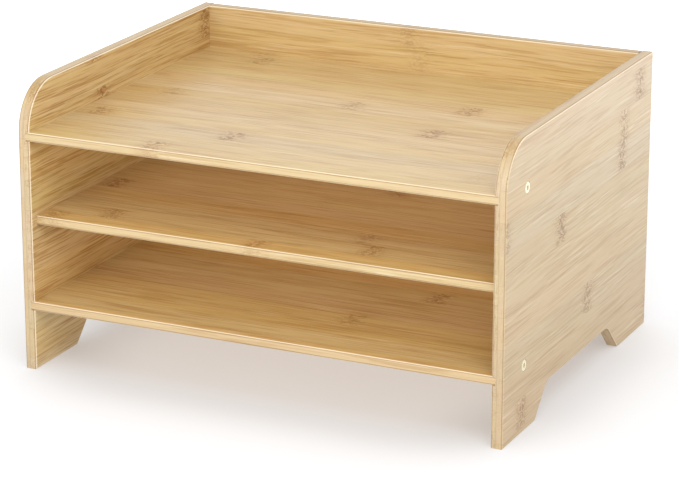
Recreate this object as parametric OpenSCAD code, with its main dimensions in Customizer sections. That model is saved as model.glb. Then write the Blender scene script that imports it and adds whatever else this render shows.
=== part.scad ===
// Three-level letter tray: two side panels, a back panel and three shelves, closed by screws and dowels.
// X runs across the tray, Y from front to back and Z up. The origin is on the desk, below the middle.

/* [Overall size] */
// Width over both side panels
width = 335; // [300:1:400]
// Depth from the front edges to the back
depth = 255; // [230:1:320]
// Height of the side and back panels
height = 190; // [175:1:240]

/* [Boards] */
// Thickness of the side panels and the back panel
board_t = 8; // [7:0.5:12]
// Thickness of the three shelves
shelf_t = 6; // [5:0.5:8]
// Radius that eases the exposed long edges
ease_r = 1.2; // [0.6:0.1:1.5]

/* [Shelves] */
// Height of the rim above the top shelf
rim_h = 30; // [20:1:45]
// Clear height below the bottom shelf
under_h = 40.5; // [35:0.5:50]
// Depth of the grooves that hold the shelves' ends
groove_d = 2.5; // [2:0.5:3.5]
// Distance from the front edges back to the middle shelf
setback = 6; // [3:1:15]

/* [Side panel outline] */
// Radius of the front top corner
corner_r = 31; // [15:1:40]
// Length of each foot along the desk, up to its sharp corner
foot_l = 53; // [40:1:70]
// Height of the cut-out between the feet
arch_h = 20; // [14:1:28]
// Angle of the feet's inner edges above the desk
foot_angle = 45; // [40:1:60]
// Radius in the upper corners of the cut-out
arch_r = 12; // [6:1:16]
// Radius on the inner tip of each foot
tip_r = 4; // [2:0.5:6]

/* [Back panel] */
// How far the back panel reaches below the bottom shelf
back_lip = 10; // [8:1:20]

/* [Screws] */
// Overall length of a screw
screw_l = 30; // [24:1:36]
// Head diameter
head_d = 7.5; // [6:0.1:8]
// Diameter of the plain shank and of the thread's crests
shank_d = 3.5; // [3:0.1:4]
// Width across the flats of the hex socket
socket_w = 3; // [2:0.5:3.5]
// Distance of the side screws from the front edges
screw_y = 33; // [20:1:60]
// Distance between the two screws in each shelf's back edge
back_screw_gap = 200; // [120:5:240]

/* [Dowels] */
// Dowel diameter
dowel_d = 5; // [4:0.5:5]
// Depth of a dowel in a side panel
dowel_in_side = 5; // [4:0.5:5.5]
// Depth of a dowel in the back panel
dowel_in_back = 11; // [8:1:16]
// Distance of the dowels from the back panel's top and bottom edges
dowel_edge = 35; // [25:1:50]

/* [Hidden] */
$fn = 64;

// How far a cutter stands out of what it cuts
spare = 2;
// Radial clearance of the screws and dowels in their holes
gap = 0.05;

front = -depth / 2;
back = depth / 2;
outer_x = -width / 2;
inner_x = outer_x + board_t;
back_front = back - board_t;
shelf_end = inner_x - groove_d;

// Undersides of the shelves; the middle one is halfway between its neighbours
top_z = height - rim_h - shelf_t;
bottom_z = under_h;
middle_z = (top_z + bottom_z) / 2;

back_z = bottom_z - back_lip;
back_mid_y = back - board_t / 2;
dowel_heights = [back_z + dowel_edge, height - dowel_edge];
screw_heights = [bottom_z + shelf_t / 2, top_z + shelf_t / 2];

// Circles in the cut-out's upper corner and in the tip of the front foot, and the flats that stand for them
half_gap = depth / 2 - foot_l;
arch_centre = [-half_gap + arch_h / tan(foot_angle) + arch_r * tan(foot_angle / 2), arch_h - arch_r];
arch_steps = 6;
tip_centre = [-half_gap - tip_r * tan(foot_angle / 2), tip_r];
tip_steps = 3;

// Screw shape, along its axis from the outer face of its head
head_lip = 0.5;
head_bevel = 0.25;
neck_end = board_t + 1;
core_r = shank_d / 2 - 0.45;
thread_pitch = 1.5;
tip_l = 3;
thread_turns = floor((screw_l - tip_l - neck_end) / thread_pitch);
socket_depth = 1.6;

bamboo = [0.87, 0.73, 0.5];
bamboo_edge = [0.93, 0.82, 0.62];
dowel_wood = [0.82, 0.66, 0.45];
plated_steel = [0.85, 0.8, 0.68];

// ---- eased sections ----

// What easing takes off a corner at the origin, where the board fills the upper right quarter
module ease_corner() {
    difference() {
        translate([-spare, -spare]) square(ease_r + spare);
        translate([ease_r, ease_r]) circle(ease_r);
    }
}

// Section of a board of the given width, with X across it and Y through its thickness
module eased_section(width) {
    difference() {
        square([width, board_t]);
        for (side = [0, 1], face = [0, 1])
            translate([side * width, face * board_t]) mirror([side, 0]) mirror([0, face]) ease_corner();
    }
}

// ---- side panels, lying on their outer face with the outline in X and Y ----

// The board's rectangle, eased along its four sides
module eased_block() {
    intersection() {
        translate([front, height, 0]) rotate([90, 0, 0]) linear_extrude(height) eased_section(depth);
        translate([front, 0, 0]) rotate([90, 0, 90]) linear_extrude(depth) eased_section(height);
    }
}

// The front top corner's quarter of an eased disc
module eased_quarter() {
    translate([front + corner_r, height - corner_r, 0])
        rotate([0, 0, 90]) rotate_extrude(angle = 90) intersection() {
            translate([-corner_r, 0]) eased_section(2 * corner_r);
            square([corner_r, board_t]);
        }
}

// Everything on the -Y side of an edge along X, with the edge's rims eased on both faces
module beyond_edge(length, reach) {
    rotate([90, 0, 90]) linear_extrude(length) {
        translate([-reach, -spare]) square([reach, board_t + 2 * spare]);
        ease_corner();
        translate([0, board_t]) mirror([0, 1]) ease_corner();
    }
}

// What lies beyond an edge that touches a circle of radius r about the centre, at an angle above X
module beyond_circle(centre, r, angle, half_length, reach) {
    translate(centre) rotate(angle) translate([-half_length, r]) beyond_edge(2 * half_length, reach);
}

// The cut-out between the feet. Its upper corners are round in steps.
module arch() {
    intersection_for(side = [0, 1], step = [0 : arch_steps])
        mirror([side, 0, 0])
            beyond_circle(arch_centre, arch_r, step / arch_steps * foot_angle, depth, height);
}

// What the round inner tips of the feet lose
module tips() {
    for (side = [0, 1], step = [1 : tip_steps - 1])
        mirror([side, 0, 0])
            beyond_circle(tip_centre, -tip_r, step / tip_steps * foot_angle, tip_r / 2, spare);
}

module side_board() {
    translate([outer_x, 0, 0]) rotate([90, 0, 90])
        difference() {
            union() {
                difference() {
                    eased_block();
                    translate([front - spare, height - corner_r, -spare])
                        cube([corner_r + spare, corner_r + spare, board_t + 2 * spare]);
                }
                eased_quarter();
            }
            arch();
            tips();
        }
}

// Groove in the inner face for a shelf whose underside is at z
module groove(z, from_y) {
    translate([shelf_end, from_y, z]) cube([groove_d + spare, back_front - from_y, shelf_t]);
}

module side_panel() {
    difference() {
        side_board();
        groove(top_z, front - spare);
        groove(middle_z, front + setback);
        groove(bottom_z, front - spare);
        for (z = screw_heights) translate([outer_x, front + screw_y, z]) rotate([0, 90, 0]) screw_seat();
        for (z = dowel_heights)
            translate([inner_x - dowel_in_side - gap, back_mid_y, z])
                rotate([0, 90, 0]) cylinder(h = board_t, d = dowel_d + 2 * gap);
    }
}

// ---- shelves ----

// A board that runs across the tray, with its front edges eased
module shelf_board(z, from_y) {
    translate([shelf_end, 0, 0]) rotate([90, 0, 90]) linear_extrude(-2 * shelf_end)
        difference() {
            translate([from_y, z]) square([back_front - from_y, shelf_t]);
            translate([from_y, z]) ease_corner();
            translate([from_y, z + shelf_t]) mirror([0, 1]) ease_corner();
        }
}

// Pilot holes in a shelf's ends and in its back edge
module shelf_pilots(z) {
    for (side = [0, 1])
        mirror([side, 0, 0]) translate([outer_x, front + screw_y, z]) rotate([0, 90, 0]) pilot();
    for (x = [-1, 1] * back_screw_gap / 2) translate([x, back, z]) rotate([90, 0, 0]) pilot();
}

module screwed_shelf(z) {
    difference() {
        shelf_board(z, front);
        shelf_pilots(z + shelf_t / 2);
    }
}

// ---- fasteners ----

// Half section of a screw, with its axis up and the outer face of its head at the bottom
module screw_section() {
    threads = [
        for (i = [0 : thread_turns - 1])
            for (p = [[shank_d / 2, 0.25], [core_r, 1]])
                [p[0], neck_end + (i + p[1]) * thread_pitch]
    ];
    polygon(concat(
        [[0, 0], [head_d / 2 - head_bevel, 0], [head_d / 2, head_bevel], [head_d / 2, head_lip]],
        [[shank_d / 2, head_lip + (head_d - shank_d) / 2], [shank_d / 2, neck_end], [core_r, neck_end]],
        threads,
        [[core_r, screw_l - tip_l], [0, screw_l]]
    ));
}

module screw() {
    difference() {
        rotate_extrude() screw_section();
        translate([0, 0, -spare]) cylinder(h = socket_depth + spare, d = socket_w / cos(30), $fn = 6);
    }
}

// Countersunk clearance hole for a screw through a board
module screw_seat() {
    cylinder(h = board_t + spare, d = shank_d + 2 * gap);
    translate([0, 0, -spare]) cylinder(h = head_lip + spare, d = head_d + 4 * gap);
    translate([0, 0, head_lip])
        cylinder(h = (head_d - shank_d) / 2 + gap, d1 = head_d + 4 * gap, d2 = shank_d + 2 * gap);
}

// Hole for a screw's thread, drawn from the outer face of the screw's head
module pilot() {
    cylinder(h = screw_l + 1, d = shank_d + 2 * gap);
}

// A dowel with eased ends, from the left side panel into the back panel
module dowel() {
    length = dowel_in_side + dowel_in_back;
    bevel = 0.6;
    rotate([0, 90, 0]) rotate_extrude()
        polygon([
            [0, 0], [dowel_d / 2 - bevel, 0], [dowel_d / 2, bevel],
            [dowel_d / 2, length - bevel], [dowel_d / 2 - bevel, length], [0, length]
        ]);
}

module side_screws() {
    for (z = screw_heights) translate([outer_x, front + screw_y, z]) rotate([0, 90, 0]) screw();
}

module side_dowels() {
    for (z = dowel_heights) translate([inner_x - dowel_in_side, back_mid_y, z]) dowel();
}

// ---- nodes ----

module left_side_panel() { color(bamboo_edge) side_panel(); }

module right_side_panel() { color(bamboo_edge) mirror([1, 0, 0]) side_panel(); }

module back_panel() {
    color(bamboo) difference() {
        translate([inner_x, back, back_z])
            rotate([90, 0, 90]) linear_extrude(-2 * inner_x) rotate(90) eased_section(height - back_z);
        for (z = screw_heights, x = [-1, 1] * back_screw_gap / 2)
            translate([x, back, z]) rotate([90, 0, 0]) screw_seat();
        for (side = [0, 1], z = dowel_heights)
            mirror([side, 0, 0]) translate([inner_x - spare, back_mid_y, z])
                rotate([0, 90, 0]) cylinder(h = dowel_in_back + spare + gap, d = dowel_d + 2 * gap);
    }
}

module top_shelf() { color(bamboo) screwed_shelf(top_z); }

module middle_shelf() { color(bamboo) shelf_board(middle_z, front + setback); }

module bottom_shelf() { color(bamboo) screwed_shelf(bottom_z); }

module left_side_screws() { color(plated_steel) side_screws(); }

module right_side_screws() { color(plated_steel) mirror([1, 0, 0]) side_screws(); }

module back_screws() {
    color(plated_steel) for (z = screw_heights, x = [-1, 1] * back_screw_gap / 2)
        translate([x, back, z]) rotate([90, 0, 0]) screw();
}

module left_back_dowels() { color(dowel_wood) side_dowels(); }

module right_back_dowels() { color(dowel_wood) mirror([1, 0, 0]) side_dowels(); }

left_side_panel();
right_side_panel();
back_panel();
top_shelf();
middle_shelf();
bottom_shelf();
left_side_screws();
right_side_screws();
back_screws();
left_back_dowels();
right_back_dowels();
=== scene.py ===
"""The letter tray's looks: pressed bamboo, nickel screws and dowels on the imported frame, in a small studio.

Places are in metres, as in the frame. Lengths inside the bamboo are in millimetres. Tints are linear colours.
"""

import math
from collections import namedtuple

import bpy
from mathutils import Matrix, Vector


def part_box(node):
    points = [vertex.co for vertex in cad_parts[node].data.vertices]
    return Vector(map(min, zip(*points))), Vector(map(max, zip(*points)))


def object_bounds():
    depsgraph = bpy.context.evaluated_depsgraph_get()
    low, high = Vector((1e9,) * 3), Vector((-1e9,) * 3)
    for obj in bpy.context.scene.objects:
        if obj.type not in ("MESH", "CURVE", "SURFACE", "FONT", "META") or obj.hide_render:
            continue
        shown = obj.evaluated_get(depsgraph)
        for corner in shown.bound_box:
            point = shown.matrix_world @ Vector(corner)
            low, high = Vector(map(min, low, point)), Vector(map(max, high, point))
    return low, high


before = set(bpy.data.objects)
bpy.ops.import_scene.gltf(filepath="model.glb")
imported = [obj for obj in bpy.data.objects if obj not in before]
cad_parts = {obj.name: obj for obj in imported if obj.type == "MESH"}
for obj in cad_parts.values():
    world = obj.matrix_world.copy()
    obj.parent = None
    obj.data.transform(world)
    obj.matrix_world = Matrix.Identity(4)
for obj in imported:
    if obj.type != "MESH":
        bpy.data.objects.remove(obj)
cad_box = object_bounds()

MM = 1000  # millimetres in a metre

# A broad face: its tint, the strength of the painted highlight on its arris, and the contrast of its fibres.
Face = namedtuple("Face", "tint rubbed contrast")
OUTER = Face((0.53, 0.395, 0.219), 0.1, 0.7)
INNER = Face((0.66, 0.49, 0.235), 0.5, 1.5)
SHELF = Face((0.575, 0.405, 0.180), 0.1, 1.1)
BACK = Face((0.65, 0.46, 0.225), 0.1, 0.9)

# The tints of a board's edges, along the grain and across it.
SIDE_EDGES = (0.475, 0.332, 0.148), (0.55, 0.42, 0.25)
SHELF_EDGES = (0.585, 0.446, 0.25), (0.55, 0.43, 0.27)
BACK_EDGES = (0.405, 0.27, 0.11), (0.49, 0.36, 0.19)

# A stain or a painted shade: its share and its tint.
KNUCKLE_STAIN = 0.7, (0.42, 0.28, 0.16)
SWERVE_STAIN = 0.25, (0.86, 0.68, 0.50)  # on the fibres round a knuckle
SEAM_STAIN = 0.18, (0.45, 0.32, 0.20)
ARRIS_SHADE = 0.6, (0.50, 0.39, 0.27)  # painted shade beside the edges, on the eased corners

# The side panels are pressed from two plies. Their joint is this far through the board, as a share.
PLY_JOINT = 0.43
PLY_SHIFT = 0.37  # each ply's strips are shifted by this share of a strip
GLUE = (0.38, 0.26, 0.14)
GLUE_SHARE = 0.55
GLUE_LINE = 0.4, 0.1  # half its width, and half that of its dark core

# The strips that a board is pressed from.
STRIP = 20
SLIDE = 700  # the longest way that a strip is slid along the grain, so that no two match
WANDER = 2.5  # how far a strip's sides wander
SEAM = 0.02  # half the width of the dark seam between two strips, as a share of a strip
TONE_STEP = 0.06  # the last share of a strip, where its tone turns into the next one's
HUES, SATURATIONS, VALUES = 0.005, 0.08, 0.045  # how far the strips' tones differ, to either side
HUE_DRIFT = 1.6  # how far the hue drifts along a strip, as a share of the hues' range

# The knuckles, which cross a strip where the bamboo's stem had its joints.
KNUCKLE_GAP = 290
KNUCKLE = 7.5  # half its length along the grain
KNUCKLE_LUCK = 0.15, 0.85  # it is missing below the first number, and strong above the second
KNUCKLE_LEAN = 6  # how far its row strays from a straight line across the strip
SWERVE = 11  # half the stretch where the fibres bend round it
SWERVE_ASIDE = 4  # how far they bend

# Keys that keep the random numbers of one kind apart from those of another.
TONE_KEY, SLIDE_KEY, PLACE_KEY, LUCK_KEY = 0, 1, 50, 70

# Kinds of fibre: the length, width and octaves of their noise, how much they gather in clusters, the noise
# where their stain starts and where it is full, its share, and its tint.
Fibre = namedtuple("Fibre", "length width octaves gather start full share tint")
BANDS = Fibre(200, 6, 2, 0, 0.42, 0.72, 0.28, (0.80, 0.69, 0.52))
VEINS = Fibre(85, 1.7, 3, 0.06, 0.56, 0.68, 0.34, (0.74, 0.61, 0.43))
STREAKS = Fibre(42, 1.0, 2, 0.09, 0.57, 0.66, 0.55, (0.70, 0.56, 0.38))
FINE = Fibre(30, 0.5, 2, 0, 0.50, 0.70, 0.42, (0.74, 0.62, 0.46))

# The pale streaks lie between the dark ones.
PALE = (1.0, 0.93, 0.76)
PALE_STREAKS = 0.42, 0.30  # the streaks' noise where they start, and where they are full
PALE_SHARE, PALE_GATHER = 0.04, 0.14  # their share out of a cluster, and what a cluster adds to it

# The curls that make up a knuckle, where their noise is near its middle: its length, width and octaves.
CURLS = 5, 2.4, 2
CURL_EDGE = 0.09, 0.03  # how far from the middle a curl ends, and where it is full

# Cells of soft noise: their length along the grain and width across it.
WANDER_CELL = 170, 60
SWERVE_CELL = 7, 5
DRIFT_CELL = 110, 13
CLUSTER_CELL = 90, 9
LEAN_CELL = 7  # width across the grain
ROW_CELL = 9, 0.7  # width across the grain, and height through the board
ROW_OCTAVES = 3
CLUSTERS = 0.36, 0.62  # the noise where a cluster starts, and where it is full

# The edges and the eased corners, by how squarely they look along an axis, from 0 to 1.
EDGE = 0.5, 0.9  # where the edges' tints start, and where they are full
EDGE_FIBRES = 0.55, 0.95  # the same for their weaker fibres
EDGE_CALM = 0.45  # how much weaker these are
EDGE_KNUCKLES = 0.65  # how much weaker the knuckles are on the edges along the grain, the others having none
ARRIS_SHADE_SPAN = (0.03, 0.15), (0.65, 0.5)  # where the corner's painted shade begins, and where it ends
ARRIS = (0.5, 0.7), (0.99, 0.9)  # the same for its painted highlight
# The tint of the painted highlight on the arris.
ARRIS_HIGHLIGHT = (0.95, 0.86, 0.68)
EDGE_HIGHLIGHT = 0.9  # how strong the arris's painted highlight is where it looks across the strips

# The varnished surface: its roughness, what the fine fibres and the knuckles add to it, and the relief of the
# fine fibres, the streaks and the knuckles.
ROUGHNESS, FINE_ROUGHNESS, KNUCKLE_ROUGHNESS = 0.30, 0.14, 0.12
FINE_RELIEF, STREAK_RELIEF, KNUCKLE_RELIEF = 0.4, 0.6, -0.5
BUMP = 0.00015  # depth of the relief, in metres
VARNISH = {"Coat Weight": 0.25, "Coat Roughness": 0.22}

# The nickel plating.
NICKEL = (0.98, 0.93, 0.70), (0.84, 0.78, 0.57)  # the tints of its grain
NICKEL_GRAINS = 2200  # in each metre
NICKEL_ROUGHNESS = 0.2, 0.18  # at its least, and what the grain adds
NICKEL_BUMP = 0.00002
SOCKET_REACH = 0.003  # how far away a wall can be that shelters the metal
SOCKET = 0.85, 0.35  # how open to the air the metal is where the socket starts, and deep inside it
# The tint of the painted shade that darkens the metal deep in the sockets.
SOCKET_SHADE = (0.90, 0.90, 0.92)
SOCKET_ROUGHNESS = 0.45  # what the socket adds

# The floor glows faintly, so that the tray's shadow stays pale, and least along the tray's outline.
FLOOR_HALF = 30
FLOOR = (0.395, 0.40, 0.41), (0.415, 0.42, 0.43)
FLOOR_ROUGHNESS = 0.8
FLOOR_BUMP = 0.0001
UNDER_GLOW = 0.52  # below the tray and beside it
FAR_GLOW = 0.7  # how much more it is out in the room
FAR = 0.15, 0.8  # where it starts to rise, and where it is full, past the outline
WARM_GLOW = (1.0, 0.94, 0.91)  # below the tray
WARM_EDGE = -0.03, 0.08  # where it starts to pale, and where it is white, past the outline
SHADE_DIP = 0.15
SHADE_WIDTH = 0.035
SHADE_ROUNDING = 0.08  # radius of the outline's corners

# Soft boxes: name, place, size, power and colour.
LIGHTS = (
    ("key_light", (1.1, -1.5, 2.0), 1.6, 26, (1, 1, 1)),
    ("front_light", (-0.4, -2.4, 1.1), 1.4, 10, (1, 1, 1)),
    ("back_light", (-1.3, 2.6, 1.0), 1.8, 2.4, (0.76, 0.92, 1.0)),
)

# The light that the boards round a compartment pass on to each other.
COMPARTMENT_LIGHT = 0.30, 0.23  # width and depth
COMPARTMENT_POWER = 0.122
COMPARTMENT_COLOUR = (1.0, 0.84, 0.68)
COMPARTMENT_DROP = 0.002  # below the shelf above it

# The camera: millimetres of lens and sensor, then degrees below the horizon and to the left of +Y.
LENS, SENSOR = 154.2, 36
CAMERA_PLACE = (0.7769, -1.6492, 0.6623)
CAMERA_DOWN, CAMERA_LEFT = 17.944, 25.274
CAMERA_CLIP = 0.1, 100


class Graph:
    """One material's node tree. Most methods add a node and return its output socket."""

    def __init__(self, name):
        self.material = bpy.data.materials.new(name)
        self.material.use_nodes = True
        self.tree = self.material.node_tree
        self.tree.nodes.clear()

    def feed(self, socket, value):
        """Links the socket to another one, or sets its number."""
        if isinstance(value, bpy.types.NodeSocket):
            self.tree.links.new(value, socket)
        else:
            socket.default_value = value

    def node(self, kind, inputs=None, **settings):
        made = self.tree.nodes.new("ShaderNode" + kind)
        for name, value in settings.items():
            setattr(made, name, value)
        for name, value in (inputs or {}).items():
            self.feed(made.inputs[name], value)
        return made

    def maths(self, operation, *values):
        made = self.node("Math", operation=operation)
        for socket, value in zip(made.inputs, values):
            self.feed(socket, value)
        return made.outputs[0]

    def add(self, a, b):
        return self.maths("ADD", a, b)

    def minus(self, a, b):
        return self.maths("SUBTRACT", a, b)

    def times(self, a, b):
        return self.maths("MULTIPLY", a, b)

    def times_add(self, a, b, c):
        return self.maths("MULTIPLY_ADD", a, b, c)

    def unsigned(self, value):
        return self.maths("ABSOLUTE", value)

    def off(self, value, middle):
        """How far the value is from the middle, on either side."""
        return self.unsigned(self.add(value, -middle))

    def spread(self, value, width):
        """A number from 0 to 1 as one from -width to width."""
        return self.times_add(value, 2 * width, -width)

    def smooth(self, value, low, high):
        """0 at low and 1 at high, with a smooth step between. High may be the lower one."""
        inputs = {"Value": value, "From Min": low, "From Max": high}
        return self.node("MapRange", inputs, interpolation_type="SMOOTHSTEP").outputs[0]

    def ridge(self, value, rise, fall):
        """1 between two smooth steps, and 0 outside them."""
        return self.times(self.smooth(value, *rise), self.smooth(value, *fall))

    def bell(self, value, width):
        """1 at 0, falling to a third at width on either side."""
        scaled = self.times(value, 1 / width)
        return self.maths("POWER", math.e, self.times(self.times(scaled, scaled), -1))

    # A Mix node has several sockets of one name, so blend and mix pick them by number.

    def blend(self, share, a, b):
        """A at share 0 and b at share 1."""
        return self.node("Mix", {0: share, 2: a, 3: b}).outputs[0]

    def mix(self, share, a, b, blend="MIX"):
        """The same for colours. Tints of three numbers will do."""
        made = self.node("Mix", data_type="RGBA", blend_type=blend)
        for index, value in ((0, share), (6, a), (7, b)):
            self.feed(made.inputs[index], (*value, 1) if isinstance(value, tuple) else value)
        return made.outputs[2]

    def darken(self, pattern, colour, share, tint):
        """The colour, darkened by a share of the tint where the pattern is 1."""
        return self.mix(self.times(pattern, share), colour, tint, "MULTIPLY")

    def vector(self, x, y, z):
        return self.node("CombineXYZ", {"X": x, "Y": y, "Z": z}).outputs[0]

    def split(self, vector):
        return self.node("SeparateXYZ", {"Vector": vector}).outputs

    def length(self, vector):
        return self.node("VectorMath", {0: vector}, operation="LENGTH").outputs["Value"]

    def noise(self, vector, octaves=1):
        inputs = {"Vector": vector, "Scale": 1, "Detail": octaves}
        return self.node("TexNoise", inputs, noise_dimensions="3D").outputs[0]

    def dice(self, x, y, z):
        """A random number and a random colour for each whole-numbered x, y and z."""
        return self.node("TexWhiteNoise", {"Vector": self.vector(x, y, z)}).outputs

    def finish(self, colour, roughness, height, depth, **numbers):
        """Adds the shader, with plain numbers set on its own sockets, and a bump of that depth in metres."""
        bump = self.node("Bump", {"Height": height, "Distance": depth})
        inputs = {"Base Color": colour, "Roughness": roughness, "Normal": bump.outputs[0]}
        shader = self.node("BsdfPrincipled", inputs | numbers)
        output = self.node("OutputMaterial")
        self.tree.links.new(shader.outputs[0], output.inputs["Surface"])
        return shader


class Bamboo(Graph):
    """Pressed bamboo for one board.

    Axes are the numbers of the axes along the grain, across the strips and through the board. Faces are the
    lower and the upper broad face, which differ only where there are two plies. Joint is the plies' joint, a
    place through the board in millimetres.
    """

    def __init__(self, name, axes, faces, edges, seed, joint=None):
        super().__init__(name)
        self.measure(axes)
        self.choose_ply(faces, seed, joint)
        self.lay_strips(seed)
        self.grow_knuckles()
        self.grow_fibres()
        colour = self.tone_strips(edges)
        colour = self.stain_fibres(colour)
        colour = self.stain_joints(colour, joint)
        colour = self.ease_corners(colour)
        roughness = self.times_add(self.fine, FINE_ROUGHNESS, ROUGHNESS)
        roughness = self.times_add(self.knuckle, KNUCKLE_ROUGHNESS, roughness)
        relief = self.add(self.times(self.fine, FINE_RELIEF), self.times(self.streaks, STREAK_RELIEF))
        relief = self.times_add(self.knuckle, KNUCKLE_RELIEF, relief)
        self.finish(colour, roughness, relief, BUMP, **VARNISH)

    def measure(self, axes):
        """The place in the board, and how squarely the surface looks along each of the axes."""
        coordinates = self.node("TexCoord")
        spot = self.split(coordinates.outputs["Object"])
        facing = [self.unsigned(part) for part in self.split(coordinates.outputs["Normal"])]
        self.along, self.across, self.through = (self.times(spot[axis], MM) for axis in axes)
        self.end_face, self.edge_face, self.broad_face = (facing[axis] for axis in axes)
        self.ends = self.smooth(self.end_face, *EDGE)
        self.sides = self.smooth(self.edge_face, *EDGE)

    def choose_ply(self, faces, seed, joint):
        """Which ply this is, and its tint, the strength of its painted arris highlight, and its contrast."""
        ply = 0.0
        if joint is not None:
            ply = self.maths("GREATER_THAN", self.through, joint)
        lower, upper = faces
        self.layer = self.add(ply, 2 * seed)
        self.tint = self.mix(ply, lower.tint, upper.tint)
        self.rubbed = self.blend(ply, lower.rubbed, upper.rubbed)
        self.contrast = self.blend(ply, lower.contrast, upper.contrast)

    def cells(self, size, key):
        """Soft noise in cells of that length and width, with its own pattern for each key."""
        length, width = size
        spot = self.vector(self.times(self.along, 1 / length), self.times(self.across, 1 / width), key)
        return self.noise(spot)

    def lay_strips(self, seed):
        """Each strip has its own tone, its own place along the grain, and slightly wandering sides."""
        self.across = self.add(self.across, self.spread(self.cells(WANDER_CELL, seed), WANDER))
        position = self.times_add(self.across, 1 / STRIP, self.times(self.layer, PLY_SHIFT))
        self.strip = self.maths("FLOOR", position)
        self.within = self.minus(position, self.strip)
        tone = self.dice(self.strip, self.layer, TONE_KEY)[1]
        next_tone = self.dice(self.add(self.strip, 1), self.layer, TONE_KEY)[1]
        self.tone = self.mix(self.smooth(self.within, 1 - TONE_STEP, 1.0), tone, next_tone)
        self.along = self.times_add(self.dice(self.strip, self.layer, SLIDE_KEY)[0], SLIDE, self.along)

    def grow_knuckles(self):
        """A ragged row of short curls across the strip, some strong, some faint, some missing."""
        span = self.times(self.along, 1 / KNUCKLE_GAP)
        cell = self.maths("FLOOR", span)
        place = self.dice(self.strip, cell, self.add(self.layer, PLACE_KEY))[0]
        luck = self.dice(self.strip, cell, self.add(self.layer, LUCK_KEY))[0]
        middle = self.times_add(place, 0.6, 0.2)  # it keeps clear of its stretch's ends
        present = self.smooth(luck, *KNUCKLE_LUCK)
        away = self.times(self.minus(self.minus(span, cell), middle), KNUCKLE_GAP)
        lean = self.noise(self.vector(self.times(self.across, 1 / LEAN_CELL), cell, self.strip))
        away = self.add(away, self.spread(lean, KNUCKLE_LEAN))
        self.swerve = self.times(self.bell(away, SWERVE), present)
        aside = self.spread(self.cells(SWERVE_CELL, self.strip), SWERVE_ASIDE)
        self.fibre_across = self.add(self.across, self.times(self.swerve, aside))
        curls = self.smooth(self.off(self.fibres(*CURLS), 0.5), *CURL_EDGE)
        knuckle = self.times(self.times(curls, self.bell(away, KNUCKLE)), present)
        hidden = self.times_add(self.sides, EDGE_KNUCKLES, self.ends)
        self.knuckle = self.times(knuckle, self.minus(1, hidden))

    def fibres(self, length, width, octaves):
        """Noise drawn out along the grain, which bends round the knuckles."""
        x = self.times(self.along, 1 / length)
        y = self.times(self.fibre_across, 1 / width)
        z = self.times(self.through, 1 / width)
        return self.noise(self.vector(x, y, z), octaves)

    def grow_fibres(self):
        """The fibres. The ends of the board show them cut, in short rows."""
        self.fine, self.streaks, self.veins, self.bands = (
            self.fibres(kind.length, kind.width, kind.octaves) for kind in (FINE, STREAKS, VEINS, BANDS)
        )
        width, height = ROW_CELL
        x = self.times(self.across, 1 / width)
        y = self.times(self.through, 1 / height)
        rows = self.noise(self.vector(x, y, self.layer), ROW_OCTAVES)
        self.veins = self.blend(self.ends, self.veins, rows)
        self.streaks = self.blend(self.ends, self.streaks, self.blend(0.5, rows, self.streaks))

    def tone_strips(self, edges):
        """The colour of the strip, whose hue drifts along it."""
        along_grain, across_grain = edges
        base = self.mix(self.sides, self.tint, along_grain)
        base = self.mix(self.ends, base, across_grain)
        hue, saturation, value = self.node("SeparateColor", {"Color": self.tone}).outputs
        drift = self.cells(DRIFT_CELL, self.layer)
        hue = self.times_add(self.add(drift, -0.5), HUE_DRIFT, hue)
        inputs = {
            "Hue": self.add(self.spread(hue, HUES), 0.5),
            "Saturation": self.add(self.spread(saturation, SATURATIONS), 1),
            "Value": self.add(self.spread(value, VALUES), 1),
            "Color": base,
        }
        return self.node("HueSaturation", inputs).outputs[0]

    def stain_fibres(self, colour):
        """The fibres' colours, from the broad bands to the fine ones, then the knuckles'."""
        edge = self.smooth(self.maths("MAXIMUM", self.edge_face, self.end_face), *EDGE_FIBRES)
        strength = self.times(self.times_add(edge, -EDGE_CALM, 1), self.contrast)
        cluster = self.smooth(self.cells(CLUSTER_CELL, self.layer), *CLUSTERS)
        fibres = (BANDS, self.bands), (VEINS, self.veins), (STREAKS, self.streaks), (FINE, self.fine)
        for kind, noise in fibres:
            gathered = self.times_add(cluster, kind.gather, noise)
            dark = self.times(self.smooth(gathered, kind.start, kind.full), strength)
            colour = self.darken(dark, colour, kind.share, kind.tint)
        share = self.times_add(cluster, PALE_GATHER, PALE_SHARE)
        colour = self.mix(self.times(self.smooth(self.streaks, *PALE_STREAKS), share), colour, PALE)
        colour = self.darken(self.swerve, colour, *SWERVE_STAIN)
        return self.darken(self.knuckle, colour, *KNUCKLE_STAIN)

    def stain_joints(self, colour, joint):
        """The dark seams between the strips, and the glue line between the plies."""
        seam = self.smooth(self.off(self.within, 1 - SEAM), SEAM, 0.0)
        colour = self.darken(seam, colour, *SEAM_STAIN)
        if joint is not None:
            glue = self.smooth(self.off(self.through, joint), *GLUE_LINE)
            colour = self.mix(self.times(glue, GLUE_SHARE), colour, GLUE)
        return colour

    def ease_corners(self, colour):
        """Painted shade beside the edge and a painted highlight beside the broad face, the highlight
        strongest where they look across the strips.
        """
        colour = self.darken(self.ridge(self.broad_face, *ARRIS_SHADE_SPAN), colour, *ARRIS_SHADE)
        arris = self.ridge(self.broad_face, *ARRIS)
        rubbed = self.maths("MAXIMUM", self.rubbed, self.times(self.edge_face, EDGE_HIGHLIGHT))
        return self.mix(self.times(arris, rubbed), colour, ARRIS_HIGHLIGHT)


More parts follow.
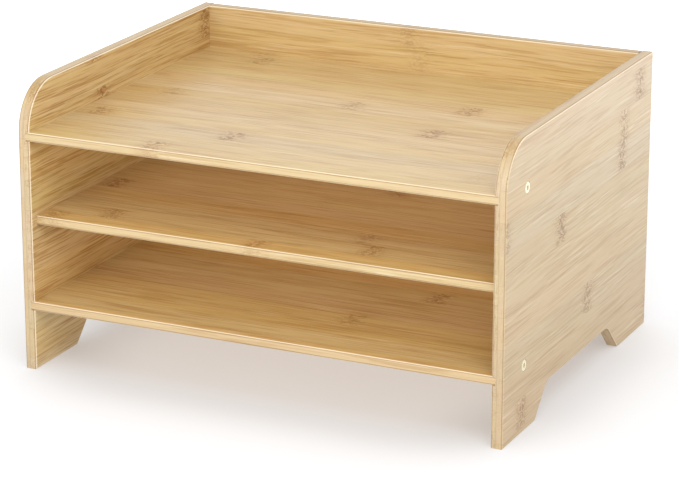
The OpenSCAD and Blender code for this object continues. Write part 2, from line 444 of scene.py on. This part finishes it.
def plated_steel():
    """Pale nickel plating with a fine grain, rougher in the sockets and darkened there by painted shade."""
    g = Graph("nickel")
    spot = g.node("TexCoord").outputs["Object"]
    scaled = g.node("VectorMath", {0: spot, "Scale": NICKEL_GRAINS}, operation="SCALE").outputs[0]
    grain = g.noise(scaled, octaves=3)
    open_air = g.node("AmbientOcclusion", {"Distance": SOCKET_REACH}).outputs["AO"]
    sheltered = g.smooth(open_air, *SOCKET)
    # Painted shade where the metal is sheltered in the sockets.
    colour = g.darken(sheltered, g.mix(grain, *NICKEL), 1, SOCKET_SHADE)
    least, added = NICKEL_ROUGHNESS
    roughness = g.times_add(sheltered, SOCKET_ROUGHNESS, g.times_add(grain, added, least))
    g.finish(colour, roughness, grain, NICKEL_BUMP, Metallic=1.0)
    return g.material


def wear(node, material):
    """Gives a CAD node its material."""
    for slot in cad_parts[node].material_slots:
        slot.link = "OBJECT"
        slot.material = material


def boards():
    """Each board has its own bamboo, so that no pattern repeats."""
    for seed, node, faces in (
        (3, "left_side_panel", (OUTER, INNER)),
        (6, "right_side_panel", (INNER, OUTER)),
    ):
        low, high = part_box(node)
        joint = (low.x + PLY_JOINT * (high.x - low.x)) * MM
        wear(node, Bamboo(node, (1, 2, 0), faces, SIDE_EDGES, seed, joint).material)
    wear("back_panel", Bamboo("back_panel", (0, 2, 1), (BACK, BACK), BACK_EDGES, 11).material)
    for seed, node in enumerate(("top_shelf", "middle_shelf", "bottom_shelf"), 21):
        wear(node, Bamboo(node, (0, 1, 2), (SHELF, SHELF), SHELF_EDGES, seed).material)


def fasteners():
    nickel = plated_steel()
    for node in ("left_side_screws", "right_side_screws", "back_screws"):
        wear(node, nickel)
    for seed, node in enumerate(("left_back_dowels", "right_back_dowels"), 31):
        wear(node, Bamboo(node, (0, 1, 2), (SHELF, SHELF), SHELF_EDGES, seed).material)


def white_room():
    world = bpy.data.worlds.new("studio")
    world.use_nodes = True
    background = world.node_tree.nodes["Background"]
    background.inputs["Color"].default_value = (1, 1, 1, 1)
    background.inputs["Strength"].default_value = 1.0
    bpy.context.scene.world = world


def floor_material():
    """Pale grey with a glow that dips along the tray's outline and rises into the white room."""
    g = Graph("floor")
    spot = g.node("TexCoord").outputs["Object"]
    cloud = g.noise(spot)

    # How far the spot is outside the tray's outline, whose corners are rounded. Inside, this is below 0.
    past = []
    for place, half in zip(g.split(spot)[:2], cad_box[1].xy):
        inward = SHADE_ROUNDING - half
        past.append(g.maths("MAXIMUM", g.add(g.unsigned(place), inward), 0))
    outside = g.add(g.length(g.vector(*past, 0)), -SHADE_ROUNDING)

    glow = g.times_add(g.smooth(outside, *FAR), FAR_GLOW, UNDER_GLOW)
    glow = g.times_add(g.bell(outside, SHADE_WIDTH), -SHADE_DIP, glow)
    glow_colour = g.mix(g.smooth(outside, *WARM_EDGE), WARM_GLOW, (1.0, 1.0, 1.0))
    shader = g.finish(g.mix(cloud, *FLOOR), FLOOR_ROUGHNESS, cloud, FLOOR_BUMP)
    g.feed(shader.inputs["Emission Strength"], glow)
    g.feed(shader.inputs["Emission Color"], glow_colour)
    return g.material


def floor():
    """A plain floor that runs out of sight."""
    mesh = bpy.data.meshes.new("floor")
    corners = [(x * FLOOR_HALF, y * FLOOR_HALF, 0) for x, y in ((-1, -1), (1, -1), (1, 1), (-1, 1))]
    mesh.from_pydata(corners, [], [(0, 1, 2, 3)])
    mesh.materials.append(floor_material())
    stage = bpy.data.objects.new("floor", mesh)
    bpy.context.scene.collection.objects.link(stage)


def area_light(name, place, size, power, colour):
    """A square soft light that shines straight down."""
    light = bpy.data.lights.new(name, "AREA")
    light.shape = "SQUARE"
    light.size = size
    light.energy = power
    light.color = colour
    lamp = bpy.data.objects.new(name, light)
    lamp.location = place
    bpy.context.scene.collection.objects.link(lamp)
    return lamp


def soft_boxes():
    """Large lights round the tray, turned to its middle."""
    middle = (cad_box[0] + cad_box[1]) / 2
    for name, place, size, power, colour in LIGHTS:
        lamp = area_light(name, place, size, power, colour)
        lamp.rotation_euler = (middle - lamp.location).to_track_quat("-Z", "Y").to_euler()


def compartment_lights():
    """A warm light just below each of the upper two shelves, hidden from the camera and from reflections."""
    width, depth = COMPARTMENT_LIGHT
    for name in ("top_shelf", "middle_shelf"):
        low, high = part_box(name)
        place = ((low.x + high.x) / 2, (low.y + high.y) / 2, low.z - COMPARTMENT_DROP)
        lamp = area_light(name + "_light", place, width, COMPARTMENT_POWER, COMPARTMENT_COLOUR)
        lamp.data.shape = "RECTANGLE"
        lamp.data.size_y = depth
        lamp.visible_camera = False
        lamp.visible_glossy = False


def camera():
    """A long lens from the front right, a little above the tray."""
    data = bpy.data.cameras.new("camera")
    data.sensor_width = SENSOR
    data.lens = LENS
    data.clip_start, data.clip_end = CAMERA_CLIP
    shot = bpy.data.objects.new("camera", data)
    shot.location = CAMERA_PLACE
    shot.rotation_euler = (math.radians(90 - CAMERA_DOWN), 0, math.radians(CAMERA_LEFT))
    bpy.context.scene.collection.objects.link(shot)
    bpy.context.scene.camera = shot


boards()
fasteners()
white_room()
floor()
soft_boxes()
compartment_lights()
camera()
bpy.context.scene.view_settings.view_transform = "Standard"
